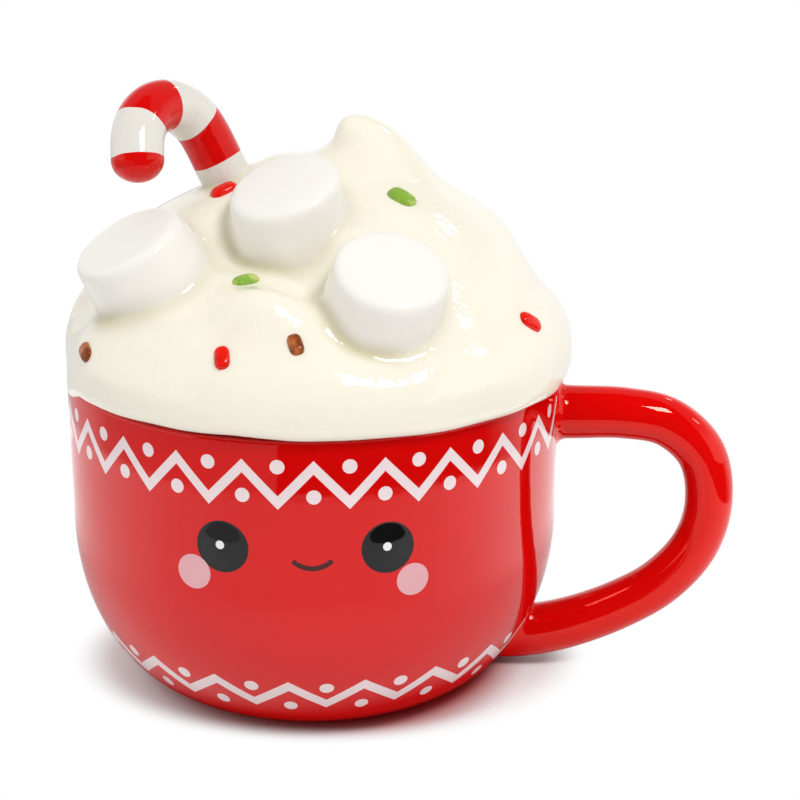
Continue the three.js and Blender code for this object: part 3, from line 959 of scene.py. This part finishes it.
def makeSprinkles(cream, glazeGroup):
    surface = BVHTree.FromObject(cream, bpy.context.evaluated_depsgraph_get())
    for label, (color, patchColor) in sprinkle["colors"].items():
        grains = [makeGrain(surface, near, turn, size)
                  for near, turn, size, wanted in sprinkle["places"] if wanted == label]
        piece = grains[0]
        joinInto(piece, grains[1:])
        piece.name = label + "Sprinkles"
        piece.data.materials.append(makeSprinkleGlaze(label + "Sprinkle", color, patchColor, glazeGroup))
        smoothShade(piece, sprinkle["edgeAngle"])
        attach(piece, "root")
        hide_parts("lid")
        print(piece.name, "made", len(piece.data.polygons), "faces")


# Camera, floor and lights

camera = {
    "place": (19.3, -380.05, 187.53),
    "down": 18.17,  # degrees below level
    "roll": 0.28,
    "lens": 79.25,
    "sensor": 36,
}

studio = {
    "floorSize": 6000,
    "floorRoughness": 0.9,
    "floorColor": (0.9, 0.9, 0.9, 1),
    "floorSeen": (1.12, 1.14, 1.14, 1),  # as the camera sees it
    "paperFade": (47.5, 58.5),  # the shadow runs out into plain white round the next point
    "paperMiddle": (3, 0, 0),
    "paperShape": (0.95, 1.27, 1),
    "footShade": (34, 47.5),  # the red and deep shade by the foot
    "footShadeMirrored": (41, 54),
    "footShadeMiddle": (4, 0, 0),
    "footShadeColor": (0.55, 0.038, 0.038, 1),
    # the table and the room round it, as the glaze mirrors them; headings are degrees from the front
    "tableEdge": (203, 213),
    "tableNear": (95, 135),  # from the table's own shade to an even white
    "tableGlow": 0.76,
    "tableGlowRight": 1.35,
    "tableRight": (20, 95),
    "tableGlowLeft": 0.32,  # and this much more at the left
    "tableLeft": (-25, -90),
    "leftRoom": 0.42,  # the room beyond the table, left of the camera
    "leftRoomEdge": (-11.7, -12.7),
    "rightRoomEdge": (75, 105),
    "backLeft": 0.72,  # the floor behind at the left
    "backLeftEdge": (-75, -112),
    "darkRoom": 0.02,
    "ambient": 0.6,
    "ambientRise": (0.7, 0.5),  # its share at the horizon, and how much more there is overhead
    "ambientSides": 0.16,
    "ambientBack": 0.5,
    "ambientLeft": ((-0.79, -0.44, 0.44), 0.42),  # more soft light from the left
    "backdrop": 1.0,  # brightness of the backdrop that the glaze mirrors
    "backdropEdge": 0.06,
    "backdropLean": 0.325,
    "backdropSides": 1.2,
    "overhead": 0.35,  # its share high up
    "overheadFrom": (0.25, 0.6),
    "keyPlace": (420, -560, 900),
    "keySize": (330, 220),
    "keyPower": 4.7,
    "keyAim": (0, 0, 60),
    # way, brightness and edges of the lights at the right, seen only as reflections
    "sideLights": [((0.8, 0.05, 0.58), 9.0, (0.9984, 0.9993)), ((0.44, 0.64, 0.63), 9.0, (0.9988, 0.9995))],
}


def makeCamera():
    deselect()
    bpy.ops.object.camera_add()
    seen = bpy.context.object
    seen.matrix_world = (
        Matrix.Translation(Vector(camera["place"]) * mm)
        @ Matrix.Rotation(math.radians(90 - camera["down"]), 4, "X")
        @ Matrix.Rotation(math.radians(camera["roll"]), 4, "Z"))
    seen.data.lens = camera["lens"]
    seen.data.sensor_width = camera["sensor"]
    bpy.context.scene.camera = seen


# The floor's colour, with the red and deep shade by the mug's foot
def floorTone(tree, place, rays):
    color = mixColor(tree, rays["Is Camera Ray"], studio["floorColor"], studio["floorSeen"])
    apart = vectorMath(tree, "DISTANCE", place, toMetres(studio["footShadeMiddle"]))["Value"]
    seenShade = softRange(tree, apart, *toMetres(reversed(studio["footShade"])))
    seenShade = calc(tree, "MULTIPLY", seenShade, rays["Is Camera Ray"])
    mirroredShade = softRange(tree, apart, *toMetres(reversed(studio["footShadeMirrored"])))
    mirroredShade = calc(tree, "MULTIPLY", mirroredShade, rays["Is Glossy Ray"])
    byFoot = calc(tree, "MAXIMUM", seenShade, mirroredShade)
    return mixColor(tree, byFoot, color, studio["footShadeColor"])


# What the glaze mirrors: a white round table, then a dark room in front with a paler left part
def mirroredRoom(tree, place, away):
    split = put(tree, "ShaderNodeSeparateXYZ", {0: place}).outputs
    heading = calc(tree, "MULTIPLY", headingOf(tree, split), 180 / math.pi)
    toRight = softRange(tree, heading, *studio["tableRight"])
    toRight = calc(tree, "MULTIPLY", toRight, studio["tableGlowRight"] - studio["tableGlow"])
    toLeft = calc(tree, "MULTIPLY", softRange(tree, heading, *studio["tableLeft"]), studio["tableGlowLeft"])
    glow = calc(tree, "ADD", calc(tree, "ADD", studio["tableGlow"], toRight), toLeft)
    leftRoom = softRange(tree, heading, *studio["leftRoomEdge"])
    backLeft = softRange(tree, heading, *studio["backLeftEdge"])
    room = calc(tree, "MULTIPLY", leftRoom, studio["leftRoom"])
    room = calc(tree, "MAXIMUM", room, softRange(tree, heading, *studio["rightRoomEdge"]))
    room = calc(tree, "MAXIMUM", room, calc(tree, "MULTIPLY", backLeft, studio["backLeft"]))
    room = calc(tree, "MAXIMUM", room, studio["darkRoom"])
    beyond = softRange(tree, away, *toMetres(studio["tableEdge"]))
    return put(tree, "ShaderNodeMix", {0: beyond, 2: glow, 3: room}).outputs[0]


def makeFloor():
    deselect()
    bpy.ops.mesh.primitive_plane_add(size=studio["floorSize"] * mm, location=(0, 0, 0))
    floor = bpy.context.object
    floor.name = "floor"
    material, tree, shader, place = newMaterial("floorWhite", studio["floorRoughness"])
    shader.inputs["Specular IOR Level"].default_value = 0.0
    rays = put(tree, "ShaderNodeLightPath").outputs
    tree.links.new(floorTone(tree, place, rays), shader.inputs["Base Color"])
    away = vectorMath(tree, "LENGTH", place)["Value"]
    room = mirroredRoom(tree, place, away)
    mirrored = put(tree, "ShaderNodeEmission", {"Color": (1, 1, 1, 1), "Strength": room})
    far = softRange(tree, away, *toMetres(studio["tableNear"]))
    hidden = calc(tree, "MULTIPLY", rays["Is Glossy Ray"], far)
    mixed = put(tree, "ShaderNodeMixShader", {0: hidden, 1: shader.outputs[0], 2: mirrored.outputs[0]})
    # away from the mug the paper runs out into plain white
    apart = vectorMath(tree, "SUBTRACT", place, toMetres(studio["paperMiddle"]))[0]
    apart = vectorMath(tree, "MULTIPLY", apart, studio["paperShape"])[0]
    apart = vectorMath(tree, "LENGTH", apart)["Value"]
    plain = softRange(tree, apart, *toMetres(studio["paperFade"]))
    plain = calc(tree, "MULTIPLY", plain, rays["Is Camera Ray"])
    white = put(tree, "ShaderNodeEmission", {"Color": (1, 1, 1, 1), "Strength": 1.0})
    mixed = put(tree, "ShaderNodeMixShader", {0: plain, 1: mixed.outputs[0], 2: white.outputs[0]})
    tree.links.new(mixed.outputs[0], tree.nodes["Material Output"].inputs["Surface"])
    floor.data.materials.append(material)


def makeLight(name, place, size, power, aim):
    deselect()
    bpy.ops.object.light_add(type="AREA", location=toMetres(place))
    light = bpy.context.object
    light.name = name
    light.data.shape = "RECTANGLE"
    light.data.size, light.data.size_y = toMetres(size)
    light.data.energy = power
    way = Vector(toMetres(aim)) - light.location
    light.rotation_euler = way.to_track_quat("-Z", "Y").to_euler()


# What the glaze mirrors above the floor: a bright backdrop, dimmer overhead, and two small lights
def mirroredBackdrop(tree, way, split, squareAcross):
    sideways = calc(tree, "MULTIPLY", squareAcross, studio["backdropSides"])
    behind = calc(tree, "SUBTRACT", split[1], calc(tree, "MULTIPLY", split[2], studio["backdropLean"]))
    mirrored = put(tree, "ShaderNodeMapRange", {
        "Value": calc(tree, "ADD", behind, sideways), "From Min": -studio["backdropEdge"],
        "From Max": studio["backdropEdge"], "To Min": studio["darkRoom"], "To Max": studio["backdrop"],
    }, interpolation_type="SMOOTHSTEP").outputs[0]
    high = softRange(tree, split[2], *studio["overheadFrom"])
    dimmer = calc(tree, "SUBTRACT", 1.0, calc(tree, "MULTIPLY", high, 1 - studio["overhead"]))
    mirrored = calc(tree, "MULTIPLY", mirrored, dimmer)
    for toLight, glow, edge in studio["sideLights"]:
        near = vectorMath(tree, "DOT_PRODUCT", way, Vector(toLight).normalized())["Value"]
        patch = calc(tree, "MULTIPLY", softRange(tree, near, *edge), glow)
        mirrored = calc(tree, "ADD", mirrored, patch)
    return mirrored


# The soft light all round, weaker from the front and stronger from overhead and the left
def softLight(tree, way, split, squareAcross):
    back = calc(tree, "MULTIPLY", split[1], studio["ambientBack"])
    aside = calc(tree, "MULTIPLY", calc(tree, "ADD", squareAcross, back), studio["ambientSides"])
    ambient = calc(tree, "ADD", studio["ambient"], aside)
    atHorizon, rise = studio["ambientRise"]
    upward = calc(tree, "MULTIPLY", calc(tree, "MAXIMUM", split[2], 0.0), rise)
    ambient = calc(tree, "MULTIPLY", ambient, calc(tree, "ADD", atHorizon, upward))
    toLeft, more = studio["ambientLeft"]
    leftward = vectorMath(tree, "DOT_PRODUCT", way, Vector(toLeft).normalized())["Value"]
    leftward = calc(tree, "POWER", calc(tree, "MAXIMUM", leftward, 0.0), 2.0)
    return calc(tree, "ADD", ambient, calc(tree, "MULTIPLY", leftward, more))


def makeWorld():
    world = bpy.data.worlds.new("studio")
    bpy.context.scene.world = world
    world.use_nodes = True
    tree = world.node_tree
    tree.nodes.clear()
    rays = put(tree, "ShaderNodeLightPath").outputs
    way = put(tree, "ShaderNodeTexCoord").outputs["Generated"]
    split = put(tree, "ShaderNodeSeparateXYZ", {0: way}).outputs
    squareAcross = calc(tree, "POWER", calc(tree, "ABSOLUTE", split[0]), 2.0)
    mirrored = mirroredBackdrop(tree, way, split, squareAcross)
    ambient = softLight(tree, way, split, squareAcross)
    seen = calc(tree, "MULTIPLY", rays["Is Glossy Ray"], mirrored)
    seen = calc(tree, "MAXIMUM", rays["Is Camera Ray"], seen)
    direct = calc(tree, "MAXIMUM", rays["Is Camera Ray"], rays["Is Glossy Ray"])
    other = calc(tree, "MULTIPLY", calc(tree, "SUBTRACT", 1.0, direct), ambient)
    strength = calc(tree, "ADD", seen, other)
    background = put(tree, "ShaderNodeBackground", {"Color": (1, 1, 1, 1), "Strength": strength})
    output = put(tree, "ShaderNodeOutputWorld")
    tree.links.new(background.outputs[0], output.inputs[0])


makeCamera()
makeFloor()
makeWorld()
makeLight("key", studio["keyPlace"], studio["keySize"], studio["keyPower"], studio["keyAim"])
bpy.context.scene.view_settings.view_transform = "Standard"
print("studio made")

glazeGroup = makeGlazeGroup()
makeMug(glazeGroup)
creamLid = makeLid(glazeGroup)
makeCane(glazeGroup)
makeSprinkles(creamLid, glazeGroup)
